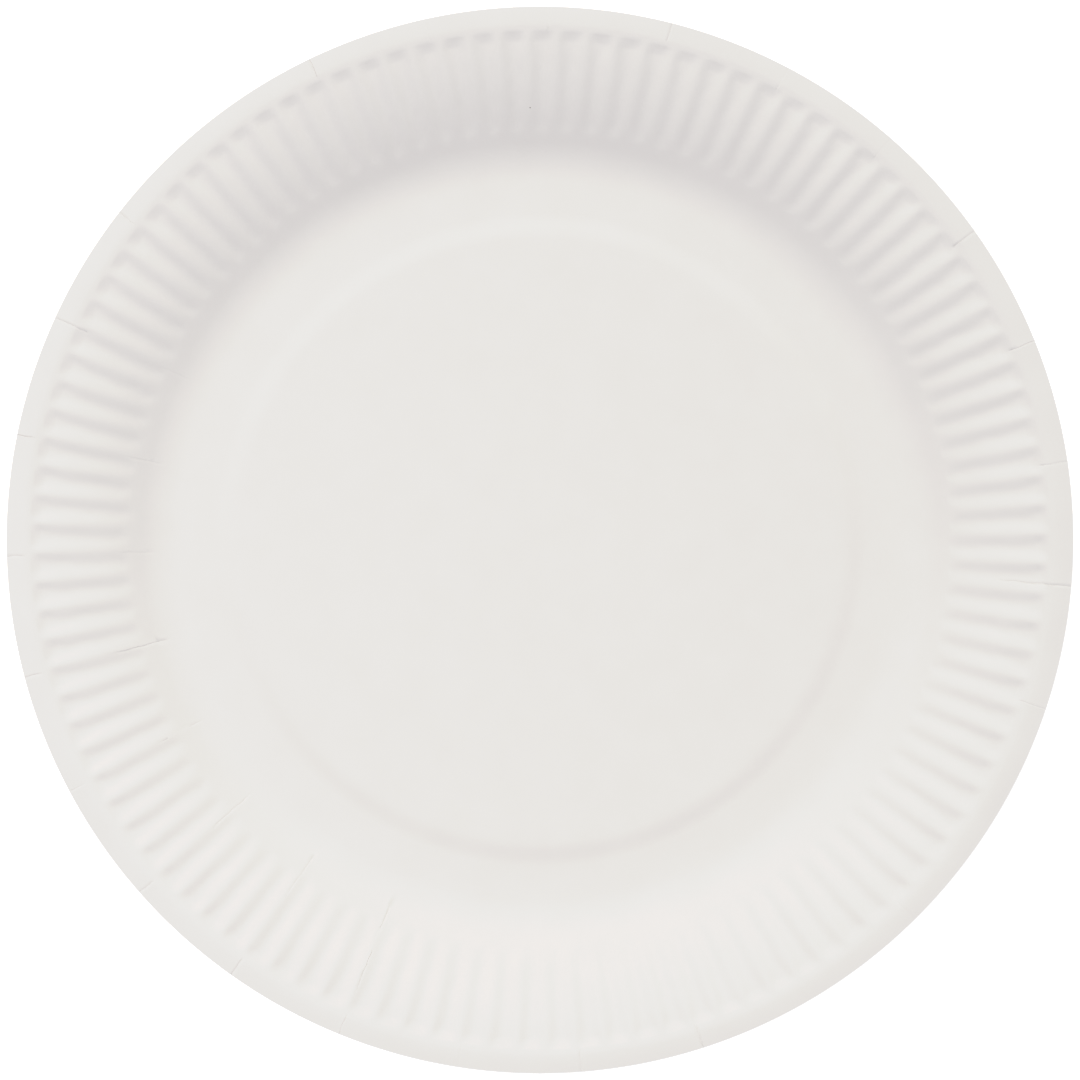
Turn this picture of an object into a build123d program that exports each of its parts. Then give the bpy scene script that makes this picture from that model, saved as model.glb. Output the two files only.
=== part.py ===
from build123d import *
from math import asin, cos, degrees, radians, sin, tan
import os

# A pressed paperboard plate: one round blank of board, scored round its edge and pressed hot
# into a shallow dish with a fluted wall and a narrow turned-over rim.
# Millimetres, +Z up.  The origin is on the plate's axis, in the plane that it rests on,
# and the crest of one flute lies over +X.

board = 0.4
plate_radius = 115.0

# Floor: a slightly raised disc, a low step, and the flat ring that the plate stands on.
disc_rise = 0.85
step_inner_radius = 65.4
step_outer_radius = 70.8
foot_outer_radius = 77.5

# Wall: a bend up from the foot, a short straight slope, then one long arc that leans outward.
bend_radius = 14.6
wall_angle = 37.0
slope_end_radius = 90.2
wall_top_radius = 110.5
wall_top_angle = 8.6

# Rim: a small arc over the crest and a narrow lip that turns down.
crown_radius = 13.0
lip_angle = 6.0

# Flutes: valleys pressed down into the wall.  Each list runs outward along one stretch of it.
flute_count = 108
flute_start_radius = 88.3
pocket_start_radius = 107.8
heel_depths = (0.0, 0.2, 0.42, 0.5)
span_depths = (0.5, 0.68, 0.76, 0.8)
pocket_depths = (0.8, 0.82, 0.6, 0.0)

# Scores: fine radial lines that let the blank gather, one to every fourth flute.  The blank lay
# a little off the axis in the press, so they swing slightly to either side of even spacing.
score_count = 27
score_width = 0.3
score_depth = 0.12
first_score_angle = 0.7
bend_score_angles = (14.0, 35.0)
rim_score_angle = 6.5
blank_shift = 1.2
blank_shift_angle = 177.0


# The section is drawn on the underside of the board, as points of radius and height.
def uphill(angle):
    """Unit vector that climbs outward at this angle."""
    return (cos(radians(angle)), sin(radians(angle)))


def on_arc(centre, radius, angle):
    """Point of an arc where its slope is this angle.  A negative radius has its centre above."""
    return (centre[0] - radius * sin(radians(angle)), centre[1] + radius * cos(radians(angle)))


def arc_poles(centre, radius, start_angle, end_angle):
    """Four Bezier poles that follow an arc from one slope to another."""
    start = on_arc(centre, radius, start_angle)
    end = on_arc(centre, radius, end_angle)
    reach = 4 / 3 * radius * tan(radians(start_angle - end_angle) / 4)
    after_start = (start[0] + reach * uphill(start_angle)[0], start[1] + reach * uphill(start_angle)[1])
    before_end = (end[0] - reach * uphill(end_angle)[0], end[1] - reach * uphill(end_angle)[1])
    return (start, after_start, before_end, end)


bend_centre = (foot_outer_radius, bend_radius)
bend_end = on_arc(bend_centre, -bend_radius, wall_angle)
slope_length = (flute_start_radius - bend_end[0]) / cos(radians(wall_angle))
flute_start = (flute_start_radius, bend_end[1] + slope_length * sin(radians(wall_angle)))
heel_length = (slope_end_radius - flute_start_radius) / cos(radians(wall_angle))
slope_end = (slope_end_radius, flute_start[1] + heel_length * sin(radians(wall_angle)))

wall_sine_drop = sin(radians(wall_angle)) - sin(radians(wall_top_angle))
wall_radius = (wall_top_radius - slope_end_radius) / wall_sine_drop
wall_centre = on_arc(slope_end, -wall_radius, wall_angle)
pocket_angle = degrees(asin((wall_centre[0] - pocket_start_radius) / wall_radius))

wall_top = on_arc(wall_centre, wall_radius, wall_top_angle)
crown_centre = on_arc(wall_top, -crown_radius, wall_top_angle)
lip_start = on_arc(crown_centre, crown_radius, -lip_angle)
lip_length = (plate_radius - lip_start[0]) / cos(radians(lip_angle)) - board * tan(radians(lip_angle))

score_sweep = degrees(score_width / plate_radius)


def score_starts():
    """Angle at which the cutter of every score starts, with the swing of the shifted blank."""
    for index in range(score_count):
        even_angle = first_score_angle + index * 360 / score_count
        sideways = blank_shift * sin(radians(blank_shift_angle - even_angle))
        yield even_angle + degrees(sideways / plate_radius) - score_sweep / 2


# Cutter for the score in the bend: a thin strip that starts score_depth under the top face.
with BuildPart() as bend_cutter:
    with BuildSketch(Plane.XZ):
        with BuildLine():
            cutter_radius = bend_radius - board + score_depth
            JernArc(
                on_arc(bend_centre, -cutter_radius, bend_score_angles[0]),
                uphill(bend_score_angles[0]),
                cutter_radius,
                bend_score_angles[1] - bend_score_angles[0],
            )
            offset(amount=2 * score_depth, side=Side.LEFT)
        make_face()
    revolve(axis=Axis.Z, revolution_arc=score_sweep)

# Cutter for the score in the rim, over the crest and out past the edge of the lip.
with BuildPart() as rim_cutter:
    with BuildSketch(Plane.XZ):
        with BuildLine():
            cutter_radius = crown_radius + board - score_depth
            over_crest = JernArc(
                on_arc(crown_centre, cutter_radius, rim_score_angle),
                uphill(rim_score_angle),
                cutter_radius,
                -rim_score_angle - lip_angle,
            )
            PolarLine(over_crest @ 1, 2 * lip_length, angle=-lip_angle)
            offset(amount=2 * score_depth, side=Side.LEFT)
        make_face()
    revolve(axis=Axis.Z, revolution_arc=score_sweep)

# Floor, foot, bend and the plain start of the slope, with the scores cut across the bend.
with BuildPart() as well:
    with BuildSketch(Plane.XZ):
        with BuildLine():
            step_middle = ((step_inner_radius + step_outer_radius) / 2, disc_rise / 2)
            Line((0, disc_rise), (step_inner_radius, disc_rise))
            TangentArc((step_inner_radius, disc_rise), step_middle, tangent=(1, 0))
            TangentArc((step_outer_radius, 0), step_middle, tangent=(-1, 0))
            Line((step_outer_radius, 0), (foot_outer_radius, 0))
            bend = JernArc((foot_outer_radius, 0), (1, 0), bend_radius, wall_angle)
            Line(bend @ 1, flute_start)
            offset(amount=board, side=Side.LEFT)
        make_face()
    revolve(axis=Axis.Z)
    for angle in score_starts():
        add(bend_cutter.part, rotation=(0, 0, angle), mode=Mode.SUBTRACT)

# Rim, turned about the axis, with the scores cut across it.
with BuildPart() as rim:
    with BuildSketch(Plane.XZ):
        with BuildLine():
            crown = JernArc(wall_top, uphill(wall_top_angle), crown_radius, -wall_top_angle - lip_angle)
            PolarLine(crown @ 1, lip_length, angle=-lip_angle)
            offset(amount=board, side=Side.LEFT)
        make_face()
    revolve(axis=Axis.Z)
    for angle in score_starts():
        add(rim_cutter.part, rotation=(0, 0, angle), mode=Mode.SUBTRACT)


# Flutes.  No builder operation makes a face from poles, so the valley's faces are made singly,
# copied round the axis, and sewn to the faces of the well and the rim.
def across_valley(point, depth):
    """Five poles of an arc of one flute's pitch, with the middle one pressed down."""
    half_pitch = radians(180 / flute_count)
    reach = 4 / 3 * tan(half_pitch / 2)
    side = (cos(half_pitch), sin(half_pitch))
    inner = (side[0] + reach * side[1], side[1] - reach * side[0])
    # Raising the arc from four poles to five leaves its shape as it was.
    poles = (
        (side[0], -side[1]),
        ((side[0] + 3 * inner[0]) / 4, -(side[1] + 3 * inner[1]) / 4),
        (inner[0], 0),
        ((side[0] + 3 * inner[0]) / 4, (side[1] + 3 * inner[1]) / 4),
        (side[0], side[1]),
    )
    # The middle one of five poles moves the middle of the curve by 3/8 of its own drop.
    drops = (0, 0, depth * 8 / 3, 0, 0)
    return [(point[0] * x, point[0] * y, point[1] - drop) for (x, y), drop in zip(poles, drops)]


def valley_face(meridian, depths):
    """Face of one valley over one stretch of the wall."""
    return Face.make_bezier_surface([across_valley(*station) for station in zip(meridian, depths)])


valley = []
for lift in (0, board):
    heel_start = on_arc(flute_start, lift, wall_angle)
    heel_poles = [
        (
            heel_start[0] + heel_length * share / 3 * uphill(wall_angle)[0],
            heel_start[1] + heel_length * share / 3 * uphill(wall_angle)[1],
        )
        for share in range(4)
    ]
    span_poles = arc_poles(wall_centre, wall_radius + lift, wall_angle, pocket_angle)
    pocket_poles = arc_poles(wall_centre, wall_radius + lift, pocket_angle, wall_top_angle)
    valley.append(valley_face(heel_poles, heel_depths))
    valley.append(valley_face(span_poles, span_depths))
    valley.append(valley_face(pocket_poles, pocket_depths))

flute_faces = []
for index in range(flute_count):
    for face in valley:
        flute_faces.append(face.rotate(Axis.Z, (index + 0.5) * 360 / flute_count))

# The well and the rim each meet the flutes at an end face that is square to the board.
# Those two faces are left out, so that the sewn skin closes round one inside.
def skin_without_end(piece, corner, slope_angle):
    """Faces of a turned piece, without the end face that stands on this corner of its section."""
    middle = on_arc(corner, board / 2, slope_angle)
    end_face = piece.faces().sort_by_distance(Vector(middle[0], 0, middle[1]))[0]
    return [face for face in piece.faces() if not face.is_same(end_face)]


with BuildPart() as paper_plate:
    well_skin = skin_without_end(well, flute_start, wall_angle)
    rim_skin = skin_without_end(rim, wall_top, wall_top_angle)
    add(Solid(Shell(well_skin + flute_faces + rim_skin)))

paper_plate.part.label = "paper_plate"
os.makedirs("parts", exist_ok=True)
export_step(paper_plate.part, "parts/paper_plate.step")
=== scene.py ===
import random
from math import atan2, cos, floor, pi, radians, sin, sqrt, tan

import bmesh
import bpy
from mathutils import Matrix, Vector, noise


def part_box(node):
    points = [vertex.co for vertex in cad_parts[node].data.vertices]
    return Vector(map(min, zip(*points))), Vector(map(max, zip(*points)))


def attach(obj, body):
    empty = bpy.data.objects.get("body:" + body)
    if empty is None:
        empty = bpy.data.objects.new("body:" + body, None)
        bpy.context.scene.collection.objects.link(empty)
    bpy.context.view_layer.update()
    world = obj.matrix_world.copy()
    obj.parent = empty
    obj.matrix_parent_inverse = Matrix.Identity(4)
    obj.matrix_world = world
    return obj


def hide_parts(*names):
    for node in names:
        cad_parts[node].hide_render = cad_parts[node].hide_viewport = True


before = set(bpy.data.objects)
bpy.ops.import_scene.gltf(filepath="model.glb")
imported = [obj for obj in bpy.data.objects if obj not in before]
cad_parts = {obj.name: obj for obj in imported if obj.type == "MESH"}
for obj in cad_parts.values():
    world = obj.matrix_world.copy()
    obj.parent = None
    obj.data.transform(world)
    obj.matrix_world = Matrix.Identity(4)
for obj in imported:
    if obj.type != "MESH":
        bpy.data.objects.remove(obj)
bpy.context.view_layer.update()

# ---------------------------------------------------------------------------------------------
# The plate.  One round blank of white board, about 300 grams to the square metre, is die-cut and
# scored round its edge, then pressed hot between two dies that leave the step, the bend, the
# flutes and the turned-down lip.
# ---------------------------------------------------------------------------------------------
mm = 0.001
lowest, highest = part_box("paper_plate")
plate_radius = min(highest.x, highest.y, -lowest.x, -lowest.y)
board = 0.4 * mm

# Its section, from the middle outward, as in the solid.
disc_rise = 0.85 * mm
step_inner_radius = 65.4 * mm
step_outer_radius = 70.8 * mm
foot_outer_radius = 77.5 * mm
bend_radius = 14.6 * mm
wall_angle = radians(37.0)
slope_end_radius = 90.2 * mm
wall_top_radius = 110.5 * mm
wall_top_angle = radians(8.6)
crown_radius = 13.0 * mm
lip_angle = radians(6.0)


def on_arc(centre, radius, angle):
    """Point of an arc, as radius and height, where its slope is this angle."""
    return (centre[0] - radius * sin(angle), centre[1] + radius * cos(angle))


# Where the stretches of the section end, on the under face.
bend_end = on_arc((foot_outer_radius, bend_radius), -bend_radius, wall_angle)
slope_rise = (slope_end_radius - bend_end[0]) * tan(wall_angle)
slope_end = (slope_end_radius, bend_end[1] + slope_rise)
wall_radius = (wall_top_radius - slope_end_radius) / (sin(wall_angle) - sin(wall_top_angle))
wall_centre = on_arc(slope_end, -wall_radius, wall_angle)
wall_top = on_arc(wall_centre, wall_radius, wall_top_angle)
crown_centre = on_arc(wall_top, -crown_radius, wall_top_angle)

# Where they start on the upper face, one board's thickness square to them.
slope_start = on_arc(bend_end, board, wall_angle)
wall_start = on_arc(slope_end, board, wall_angle)
crown_start = on_arc(wall_top, board, wall_top_angle)
lip_start = on_arc(crown_centre, crown_radius + board, -lip_angle)


def skin_height(radius):
    """Height of the upper face at this distance from the axis, before the flutes are pressed."""
    if radius < step_inner_radius:
        return board + disc_rise
    if radius < step_outer_radius:
        share = (radius - step_inner_radius) / (step_outer_radius - step_inner_radius)
        return board + disc_rise * (1 + cos(pi * share)) / 2
    if radius < foot_outer_radius:
        return board
    if radius < slope_start[0]:
        return bend_radius - sqrt((bend_radius - board) ** 2 - (radius - foot_outer_radius) ** 2)
    if radius < wall_start[0]:
        return slope_start[1] + (radius - slope_start[0]) * tan(wall_angle)
    if radius < crown_start[0]:
        return wall_centre[1] + sqrt((wall_radius + board) ** 2 - (radius - wall_centre[0]) ** 2)
    if radius < lip_start[0]:
        return crown_centre[1] + sqrt((crown_radius + board) ** 2 - (radius - crown_centre[0]) ** 2)
    return lip_start[1] - (radius - lip_start[0]) * tan(lip_angle)


# The blank is laid out flat, in rings, with more edges round it where it will be fluted.
def lay_rings(edge_count, radii):
    """A flat band of board: one circle of edges, drawn outward ring by ring."""
    bpy.ops.mesh.primitive_circle_add(vertices=edge_count, radius=radii[0], fill_type="NOTHING")
    for inner, outer in zip(radii, radii[1:]):
        bpy.ops.object.mode_set(mode="EDIT")
        bpy.ops.mesh.extrude_region_move()
        ratio = outer / inner
        bpy.ops.transform.resize(value=(ratio, ratio, 1), center_override=(0, 0, 0))


def even_steps(start, end, count):
    """Radii from start to end, both included, in equal steps."""
    return [start + (end - start) * step / count for step in range(count + 1)]


hair = 0.001 * mm


def select_rings(*radii):
    """Select the edges that lie on circles of these radii."""
    bpy.ops.mesh.select_all(action="DESELECT")
    sheet = bmesh.from_edit_mesh(bpy.context.edit_object.data)
    for edge in sheet.edges:
        lengths = [vertex.co.xy.length for vertex in edge.verts]
        for radius in radii:
            if all(abs(length - radius) < hair for length in lengths):
                edge.select_set(True)
    bmesh.update_edit_mesh(bpy.context.edit_object.data)


# Rings lie closest where the flutes start and end, and beside a fine line round the rim.
flute_count = 108
flute_start = 88.3 * mm
heel_end = 91.2 * mm
valley_end = 107.0 * mm
half_moon_end = 110.0 * mm
fine_line = 110.6 * mm
fine_line_width = 0.3 * mm
floor_radii = [step_inner_radius - 1.5 * mm] + even_steps(step_inner_radius, step_outer_radius, 6)
floor_radii += [foot_outer_radius - 1.5 * mm, foot_outer_radius]
bend_radii = even_steps(foot_outer_radius + 1.1 * mm, slope_start[0] - 0.9 * mm, 7)
wall_radii = [slope_start[0], 87.3 * mm]
wall_radii += even_steps(flute_start, heel_end, 7)
wall_radii += even_steps(heel_end, valley_end, 12)[1:]
wall_radii += even_steps(valley_end, half_moon_end, 9)[1:]
wall_radii += [fine_line, fine_line + fine_line_width, 111.3 * mm, 112.0 * mm, 113.3 * mm, plate_radius]

bpy.ops.object.select_all(action="DESELECT")
lay_rings(flute_count * 5 // 2, floor_radii)
plate = bpy.context.object
plate.name = "plate"
lay_rings(flute_count * 5, bend_radii)
lay_rings(flute_count * 10, wall_radii)
bpy.ops.mesh.select_mode(type="EDGE")
select_rings(floor_radii[-1], bend_radii[0])
bpy.ops.mesh.bridge_edge_loops()
select_rings(bend_radii[-1], wall_radii[0])
bpy.ops.mesh.bridge_edge_loops()
select_rings(floor_radii[0])
bpy.ops.mesh.edge_face_add()

# Scores: one to every fourth flute, all radial from the middle of the blank, which lay a little
# off the axis in the press.  Each is cut in as three close lines, to be folded to a fine crease:
# across the rim, and down to the bend where the blank had most board to gather.
score_count = 27
score_half_width = 0.13 * mm
first_score_angle = radians(0.7)
blank_shift = Vector((cos(radians(177)), sin(radians(177)))) * 1.2 * mm
bend_crease_start = 82.3 * mm
rim_crease_start = 109.7 * mm
# How hard each score is folded at the rim, in order round the plate: from not at all to fully.
rim_folds = (
    0.4, 0.8, 0.9, 0.25, 0.3, 0.7, 0.4, 0.3, 0.9,
    0.0, 0.8, 0.6, 1.0, 0.5, 0.6, 0.4, 0.5, 0.9,
    0.6, 0.25, 0.5, 0.9, 0.0, 0.15, 0.0, 0.5, 0.9,
)
# The few that are folded at the bend: how hard, and how far up the wall the crease runs.
bend_folds = {
    11: (0.15, 90 * mm), 12: (0.35, 90 * mm), 13: (0.25, 90.5 * mm), 14: (0.8, 94 * mm),
    15: (0.7, 92 * mm), 16: (0.7, 94 * mm), 17: (0.6, 95 * mm), 18: (0.85, 105 * mm),
}
# Rim creases that run on down the ridge of a flute, and how far.
long_rim_folds = {11: 105 * mm, 26: 101 * mm}


def score_direction(index):
    """Unit vector along this score, away from the middle of the blank."""
    angle = first_score_angle + index * 2 * pi / score_count
    return Vector((cos(angle), sin(angle)))


def from_score(point, index):
    """How far a point lies along a score, and to the left of it."""
    along = score_direction(index)
    offset = Vector((point[0], point[1])) - blank_shift
    return offset.dot(along), along.x * offset.y - along.y * offset.x


def fold_stretches(index):
    """The folded stretches of a score: where each starts and ends, and how hard it is folded."""
    if rim_folds[index] > 0:
        start = long_rim_folds.get(index, rim_crease_start)
        yield start, plate_radius + 2 * blank_shift.length, rim_folds[index]
    if index in bend_folds:
        strength, end = bend_folds[index]
        yield bend_crease_start, end, strength


# Only the faces close to a folded stretch are cut.
beside_fold = 1.5 * mm
past_fold = 0.6 * mm
bpy.ops.mesh.select_mode(type="FACE")
for index in range(score_count):
    along = score_direction(index)
    across = Vector((-along.y, along.x))
    for sideways in (-score_half_width, 0, score_half_width):
        bpy.ops.mesh.select_all(action="DESELECT")
        sheet = bmesh.from_edit_mesh(plate.data)
        for face in sheet.faces:
            reach, aside = from_score(face.calc_center_median(), index)
            if abs(aside) < beside_fold and reach > 0:
                for start, end, _ in fold_stretches(index):
                    if start - past_fold < reach < end + past_fold:
                        face.select_set(True)
        bmesh.update_edit_mesh(plate.data)
        on_line = blank_shift + across * sideways
        bpy.ops.mesh.bisect(plane_co=(*on_line, 0), plane_no=(*across, 0))
bpy.ops.object.mode_set(mode="OBJECT")

# Flutes: valleys pressed down into the wall, each with a rounded heel above the bend.  Under the
# rim they widen and end in a steep little half-moon.  Every one comes out a little different, and
# they fan out from a point that is slightly off the axis too.
flute_pitch = 2 * pi / flute_count
fan_middle = Vector((cos(radians(209)), sin(radians(209)))) * 0.85 * mm
heel_depths = (0.0, 0.2 * mm, 0.4 * mm, 0.46 * mm)
span_depths = (0.46 * mm, 0.65 * mm, 0.75 * mm, 0.77 * mm)
heel_round = 1.2 * mm
widening = 0.7
widening_start = 104.5 * mm
half_moon_start = 107.5 * mm
half_moon_round = 0.8 * mm
half_moon_swell = 1.5
wander_length = 2.6 * mm
wander = 0.09
wander_track = (7.3, 0)
chance = random.Random(27)
valley_strength = [chance.gauss(1.0, 0.04) for _ in range(flute_count)]
valley_shift = [chance.gauss(0.0, 0.15) * mm for _ in range(flute_count)]


def along_curve(share, poles):
    """Value of a Bezier curve with four poles at this share of its length."""
    rest = 1 - share
    weights = (rest ** 3, 3 * rest * rest * share, 3 * rest * share * share, share ** 3)
    return sum(weight * pole for weight, pole in zip(weights, poles))


def valley_depth(radius):
    """Depth of a valley along its middle, without its half-moon end."""
    if radius < flute_start:
        return 0.0
    if radius < heel_end:
        return along_curve((radius - flute_start) / (heel_end - flute_start), heel_depths)
    share = (radius - heel_end) / (valley_end - heel_end)
    return along_curve(min(share, 1), span_depths)


def fade(value, start, end):
    """0 before start, 1 after end, and a smooth climb between them."""
    share = min(max((value - start) / (end - start), 0), 1)
    return share * share * (3 - 2 * share)


def wobble(distance, length, index, track):
    """Smooth noise along one flute or score, which swings in about this length."""
    spacing, layer = track
    return noise.noise(Vector((distance / length, index * spacing, layer)))


def valley_at(point):
    """How far the flutes press the board down here."""
    radius = point.length
    if radius < flute_start - 1 * mm or radius > half_moon_end:
        return 0.0
    offset = point - fan_middle
    turns = (atan2(offset.y, offset.x) / flute_pitch) % flute_count
    index = int(turns) % flute_count
    share = turns - floor(turns)
    share += wander * wobble(radius, wander_length, index, wander_track) * sin(pi * share) ** 2
    off_middle = (2 * share - 1) ** 2
    depth = valley_depth(radius - heel_round * off_middle + valley_shift[index])
    across = sin(pi * share) ** 2
    across += widening * fade(radius, widening_start, half_moon_start) * across * (1 - across)
    # The end starts later beside the middle of the valley than on it, so that its inner side is round.
    end_start = half_moon_start + half_moon_round * off_middle
    end_share = max(0, (radius - end_start) / (half_moon_end - end_start))
    return depth * valley_strength[index] * across * (1 - end_share ** half_moon_swell)


# Creases: a fine sharp fold that wanders a little and comes and goes, deepest in a pinch where it
# ends under the rim, with a lap of board raised to one side of it.
crease_depth = 0.15 * mm
crease_fade_in = 1 * mm
crease_fade_out = 2 * mm
unevenness = 0.5
uneven_length = 0.9 * mm
uneven_track = (3.7, 4)
pinch_depth = 0.08 * mm
pinch_reach = 0.5 * mm
pinch_middle = rim_crease_start + 1 * mm
lap_rise = 0.06 * mm
lap_width = 2.0 * mm
crease_wander = 0.22 * mm
crease_wander_length = 2.1 * mm
crease_wander_width = 1 * mm
crease_wander_track = (5.1, 9)
lap_side = [chance.choice((-1, 1)) for _ in range(score_count)]
# Outside the fine line the board stands a hair proud, and sinks back before the edge.
proud_rise = 0.035 * mm
proud_end = 111.3 * mm
proud_sunk = 113.5 * mm


def nearest_score(point):
    """Index of the score that a point lies closest to."""
    offset = point - blank_shift
    turns = (atan2(offset.y, offset.x) - first_score_angle) / (2 * pi) * score_count
    return round(turns) % score_count


def crease_at(point):
    """How far a crease moves the board here, and how far it wanders to the left."""
    index = nearest_score(point)
    reach, aside = from_score(point, index)
    for start, end, strength in fold_stretches(index):
        folded = strength * fade(reach, start, start + crease_fade_in)
        folded *= 1 - fade(reach, end - crease_fade_out, end)
        if folded > 0:
            folded *= 1 + unevenness * wobble(reach, uneven_length, index, uneven_track)
            height = 0.0
            if abs(aside) < score_half_width / 2:
                pinch = max(0, 1 - abs(reach - pinch_middle) / pinch_reach)
                height = -crease_depth * folded - pinch_depth * pinch
            elif aside * lap_side[index] > 0:
                height = lap_rise * folded * max(0, 1 - abs(aside) / lap_width) ** 2
            nearness = max(0, 1 - abs(aside) / crease_wander_width)
            sideways = crease_wander * wobble(reach, crease_wander_length, index, crease_wander_track)
            return height, sideways * nearness
    return 0.0, 0.0


for vertex in plate.data.vertices:
    point = vertex.co.xy
    radius = min(point.length, plate_radius)
    height = skin_height(radius) - valley_at(point)
    proud = fade(radius, fine_line, fine_line + fine_line_width)
    height += proud_rise * proud * (1 - fade(radius, proud_end, proud_sunk))
    if point.length > bend_crease_start - 2 * mm:
        fold, sideways = crease_at(point)
        height += fold
        along = score_direction(nearest_score(point))
        point += Vector((-along.y, along.x)) * sideways
        point *= min(1, plate_radius / point.length)
    vertex.co = (*point, min(height, highest.z))
plate.data.update()

# The board has its thickness below the pressed skin, and a crisp die-cut edge.
bpy.ops.object.select_all(action="DESELECT")
plate.select_set(True)
bpy.context.view_layer.objects.active = plate
bpy.ops.object.mode_set(mode="EDIT")
bpy.ops.mesh.select_all(action="SELECT")
bpy.ops.mesh.normals_make_consistent(inside=False)
bpy.ops.object.mode_set(mode="OBJECT")
if sum(face.normal.z * face.area for face in plate.data.polygons) < 0:
    plate.data.flip_normals()
thickness = plate.modifiers.new("board", "SOLIDIFY")
thickness.thickness = board
thickness.offset = -1
thickness.use_even_offset = True
bpy.ops.object.modifier_apply(modifier="board")
bpy.ops.object.shade_smooth_by_angle(angle=radians(50))


def linear(hex_colour):
    """Linear RGBA of an sRGB hex colour."""
    parts = [int(hex_colour[i:i + 2], 16) / 255 for i in (0, 2, 4)]
    parts = [part / 12.92 if part <= 0.04045 else ((part + 0.055) / 1.055) ** 2.4 for part in parts]
    return (*parts, 1)


def add_node(tree, kind, inputs={}, **settings):
    """Add a node, set its properties, and set or link its inputs."""
    node = tree.nodes.new(kind)
    for name, value in settings.items():
        setattr(node, name, value)
    for name, value in inputs.items():
        if isinstance(value, bpy.types.NodeSocket):
            tree.links.new(value, node.inputs[name])
        else:
            node.inputs[name].default_value = value
    return node


# Uncoated white paperboard, pressed between smooth dies: a soft, barely warm white with no gloss.
white_board = bpy.data.materials.new("white_paperboard")
white_board.use_nodes = True
tree = white_board.node_tree
shader = tree.nodes["Principled BSDF"]
place = add_node(tree, "ShaderNodeTexCoord").outputs["Object"]
# Pulp clouds a few millimetres across, barely lighter and darker, and one dark fleck of bark.
cloud_size = 9 * mm
clouds = add_node(tree, "ShaderNodeTexNoise", {"Vector": place, "Scale": 1 / cloud_size, "Detail": 4.0})
tone = add_node(tree, "ShaderNodeMix", {0: clouds.outputs["Fac"]}, data_type="RGBA")
tone.inputs[6].default_value = linear("E4E0DE")
tone.inputs[7].default_value = linear("E8E4E2")
fleck_radius = 0.15 * mm
fleck_place = (93.4 * mm * cos(radians(83.6)), 93.4 * mm * sin(radians(83.6)), 0)
over_plate = add_node(
    tree, "ShaderNodeVectorMath", {0: place, 1: (1, 1, 0)}, operation="MULTIPLY"
).outputs[0]
fleck_distance = add_node(
    tree, "ShaderNodeVectorMath", {0: over_plate, 1: fleck_place}, operation="DISTANCE"
).outputs["Value"]
fleck_edge = {"From Min": 0.5 * fleck_radius, "From Max": fleck_radius, "To Min": 1.0, "To Max": 0.0}
fleck = add_node(tree, "ShaderNodeMapRange", {"Value": fleck_distance, **fleck_edge})
colour = add_node(tree, "ShaderNodeMix", {0: fleck.outputs[0], 6: tone.outputs[2]}, data_type="RGBA")
colour.inputs[7].default_value = linear("4A3B2E")
tree.links.new(colour.outputs[2], shader.inputs["Base Color"])
# The faint tooth of its fibres, drawn coarser than they are so that it can show.
fibre_spacing = 0.6 * mm
tooth_height = 0.02 * mm
fibres = add_node(
    tree, "ShaderNodeTexNoise", {"Vector": place, "Scale": 1 / fibre_spacing, "Detail": 6.0}
)
tooth = add_node(
    tree, "ShaderNodeBump", {"Height": fibres.outputs["Fac"], "Strength": 0.15, "Distance": tooth_height}
)
tree.links.new(tooth.outputs["Normal"], shader.inputs["Normal"])
# Bare fibres scatter light widely, and their IOR is a plain one.
shader.inputs["Roughness"].default_value = 0.8
shader.inputs["IOR"].default_value = 1.45
plate.data.materials.clear()
plate.data.materials.append(white_board)

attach(plate, "root")
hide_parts("paper_plate")

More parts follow.
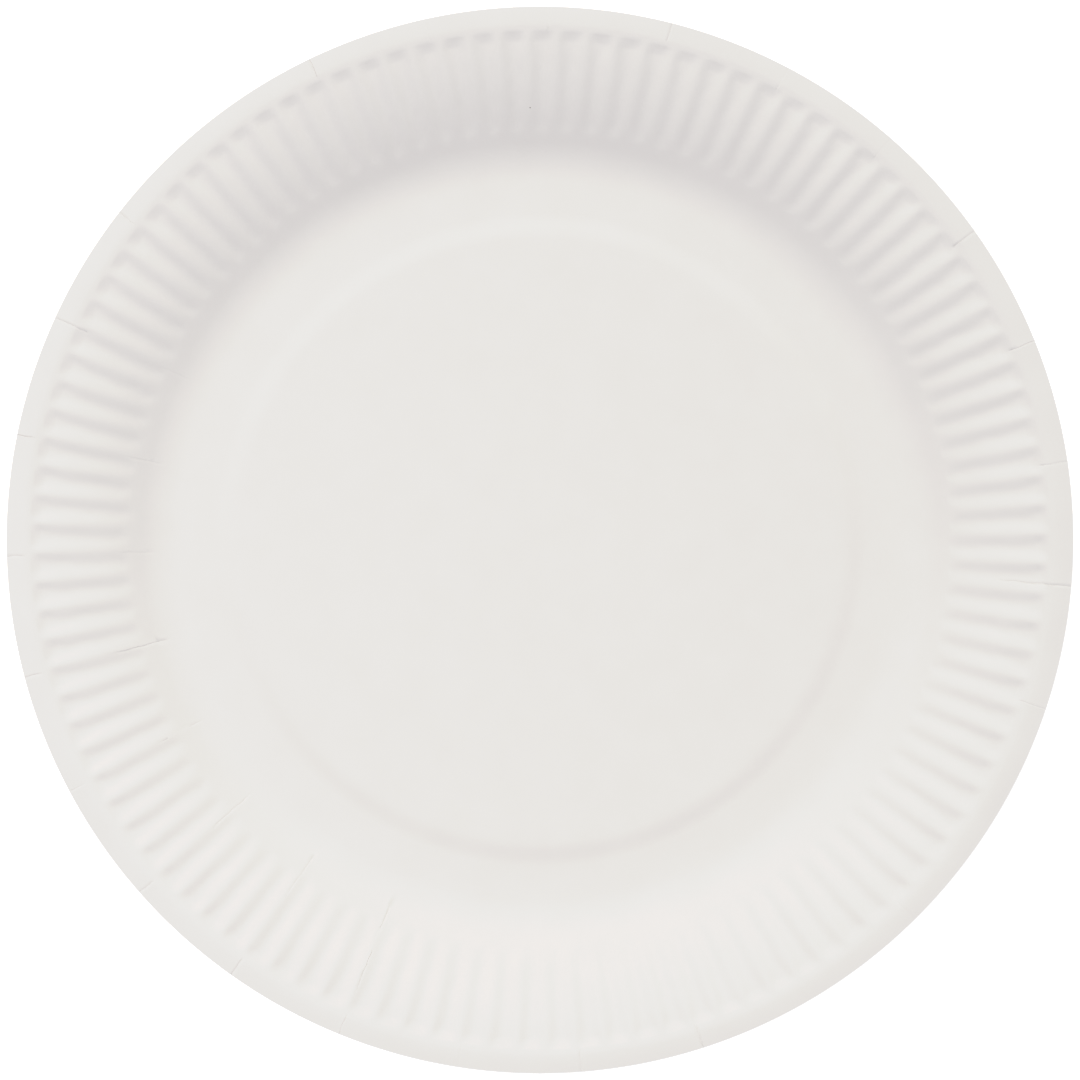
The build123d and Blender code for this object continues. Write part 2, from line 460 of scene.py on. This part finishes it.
# ---------------------------------------------------------------------------------------------
# The table: a plain white light table, lit a little from below so that it stays clean white.
# ---------------------------------------------------------------------------------------------
# It lies a hair below the foot, so that the two faces don't share one plane.
table_gap = 0.02 * mm
bpy.ops.mesh.primitive_plane_add(size=6, location=(0, 0, -table_gap))
bpy.ops.object.transform_apply(location=True, rotation=False, scale=False)
table = bpy.context.object
table.name = "table"
table_white = bpy.data.materials.new("light_table_white")
table_white.use_nodes = True
table_shader = table_white.node_tree.nodes["Principled BSDF"]
table_shader.inputs["Base Color"].default_value = (0.25, 0.25, 0.25, 1)
table_shader.inputs["Roughness"].default_value = 0.9
table_shader.inputs["Emission Color"].default_value = (1, 1, 1, 1)
table_shader.inputs["Emission Strength"].default_value = 0.85
table.data.materials.append(table_white)

# ---------------------------------------------------------------------------------------------
# The light: an even surround that is barely cool, a warm key from behind the plate, and a softbox
# close overhead that stands a little to the left.
# ---------------------------------------------------------------------------------------------
plate_turn = radians(7.71)
surround = bpy.data.worlds.new("surround")
surround.use_nodes = True
surround.node_tree.nodes["Background"].inputs["Color"].default_value = linear("FBFBFF")
surround.node_tree.nodes["Background"].inputs["Strength"].default_value = 0.646
bpy.context.scene.world = surround


def add_light(kind, name, azimuth, elevation, distance, strength):
    """A light that faces the plate from this direction."""
    level = cos(elevation)
    towards = Vector((cos(azimuth) * level, sin(azimuth) * level, sin(elevation)))
    bpy.ops.object.light_add(type=kind, location=towards * distance)
    light = bpy.context.object
    light.name = name
    light.rotation_euler = towards.to_track_quat("Z", "Y").to_euler()
    light.data.energy = strength
    return light


key = add_light("SUN", "key_light", radians(91) - plate_turn, radians(43), 3.0, 1.13)
key.data.angle = radians(30)
key.data.color = linear("FCFFEB")[:3]
overhead = add_light("AREA", "overhead_softbox", radians(180) - plate_turn, radians(70), 0.6, 0.8)
overhead.data.size = 0.4

# ---------------------------------------------------------------------------------------------
# The camera: a long lens straight above the plate.
# ---------------------------------------------------------------------------------------------
view_width = 232.9 * mm
camera_height = 4.0
bpy.ops.object.camera_add(location=(0, 0, camera_height), rotation=(0, 0, -plate_turn))
camera = bpy.context.object
camera.data.sensor_width = 36
camera.data.lens = camera.data.sensor_width * (camera_height - highest.z) / view_width
camera.data.clip_end = 20
bpy.context.scene.camera = camera

# The picture keeps its tones up to a light grey, then eases off towards white as film does.
film = bpy.context.scene.view_settings
film.view_transform = "Standard"
film.use_curve_mapping = True
film_curve = film.curve_mapping.curves[3]
film_shoulder = ((0.6, 0.6), (0.68, 0.677), (0.76, 0.752), (0.8, 0.79), (0.84, 0.816), (0.9, 0.848))
for scene_tone, picture_tone in film_shoulder:
    film_curve.points.new(scene_tone, picture_tone)
film.curve_mapping.update()
